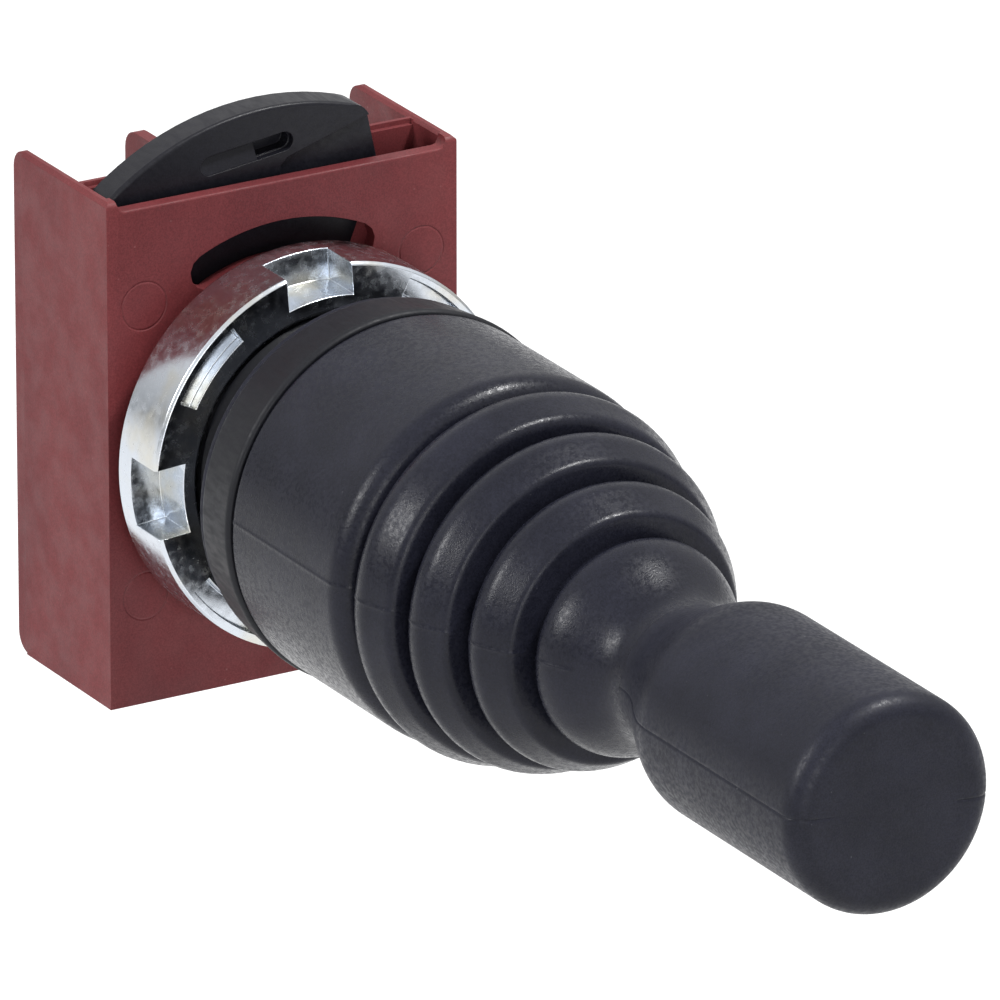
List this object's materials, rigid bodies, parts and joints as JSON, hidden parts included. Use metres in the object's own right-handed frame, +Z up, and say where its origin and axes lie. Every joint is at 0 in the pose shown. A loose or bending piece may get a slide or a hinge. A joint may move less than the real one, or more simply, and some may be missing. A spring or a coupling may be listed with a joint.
{
  "type": "panel joystick switch head",
  "caption": "Four-way spring-return joystick head with rubber boot, ring nut and a lever-locked mounting base for contact blocks.",
  "frame": {"origin": "centre of the panel hole, in the plane of the panel's front face, where the gasket seats", "axes": "-Y along the stick towards the grip, +Y back into the panel, +Z up towards the locking lever, +X right as seen from the front"},
  "size_m": [0.03, 0.1005, 0.0439],
  "materials": {
    "red_plastic": "fine-grained moulded thermoplastic",
    "black_plastic": "satin moulded thermoplastic",
    "black_rubber": "matte moulded rubber",
    "zinc": "bright-plated zinc die casting",
    "steel": "turned and plated steel",
    "nylon": "natural polyamide",
    "brass": "knurled"
  },
  "bodies": {
    "head": {"base": "red_plastic", "ring_nut": "zinc", "panel_gasket": "black_rubber", "body": "black_plastic", "bezel": "black_plastic", "gate_plate": "steel", "boot_ring": "black_plastic", "boot_sleeve": "black_rubber", "boot_bellows": "black_rubber", "body_pins": "steel", "guide_plate": "nylon", "return_spring": "steel", "spring_top": "steel", "spring_bottom": "steel", "spring_left": "steel", "spring_right": "steel"},
    "lever": {"lever": "black_plastic"},
    "gimbal": {"gimbal_ring": "zinc"},
    "stick": {"stick": "steel", "cross_pin": "steel", "rocker": "nylon", "rocker_screw": "steel", "spring_collar": "steel", "collar_clip": "steel", "grip_insert": "brass", "grip": "black_rubber"},
    "top_plunger": {"plunger_top": "nylon"},
    "bottom_plunger": {"plunger_bottom": "nylon"},
    "left_plunger": {"plunger_left": "nylon"},
    "right_plunger": {"plunger_right": "nylon"}
  },
  "joints": [
    {"name": "tilt_up_down", "type": "hinge", "parent": "head", "child": "gimbal", "pos_m": [0, 0.002, 0], "axis": [1, 0, 0], "range_deg": [-14, 14], "stiffness_Nm_per_rad": 1.5, "deforming": ["boot_bellows", "return_spring"]},
    {"name": "tilt_left_right", "type": "hinge", "parent": "gimbal", "child": "stick", "pos_m": [0, 0.002, 0], "axis": [0, 0, 1], "range_deg": [-14, 14], "stiffness_Nm_per_rad": 1.5, "deforming": ["boot_bellows", "return_spring"]},
    {"name": "lever_turn", "type": "hinge", "parent": "head", "child": "lever", "pos_m": [0, 0.0153, 0], "axis": [0, 1, 0], "range_deg": [0, 12]},
    {"name": "top_plunger_slide", "type": "slide", "parent": "head", "child": "top_plunger", "axis": [0, 1, 0], "range_m": [-0.00148, 0.00148], "stiffness_N_per_m": 200, "deforming": ["spring_top"]},
    {"name": "bottom_plunger_slide", "type": "slide", "parent": "head", "child": "bottom_plunger", "axis": [0, 1, 0], "range_m": [-0.00148, 0.00148], "stiffness_N_per_m": 200, "deforming": ["spring_bottom"]},
    {"name": "left_plunger_slide", "type": "slide", "parent": "head", "child": "left_plunger", "axis": [0, 1, 0], "range_m": [-0.00148, 0.00148], "stiffness_N_per_m": 200, "deforming": ["spring_left"]},
    {"name": "right_plunger_slide", "type": "slide", "parent": "head", "child": "right_plunger", "axis": [0, 1, 0], "range_m": [-0.00148, 0.00148], "stiffness_N_per_m": 200, "deforming": ["spring_right"]}
  ],
  "couplings": [
    {"joint": "top_plunger_slide", "follows": "tilt_up_down", "m_per_rad": -0.006},
    {"joint": "bottom_plunger_slide", "follows": "tilt_up_down", "m_per_rad": 0.006},
    {"joint": "left_plunger_slide", "follows": "tilt_left_right", "m_per_rad": -0.006},
    {"joint": "right_plunger_slide", "follows": "tilt_left_right", "m_per_rad": 0.006}
  ]
}
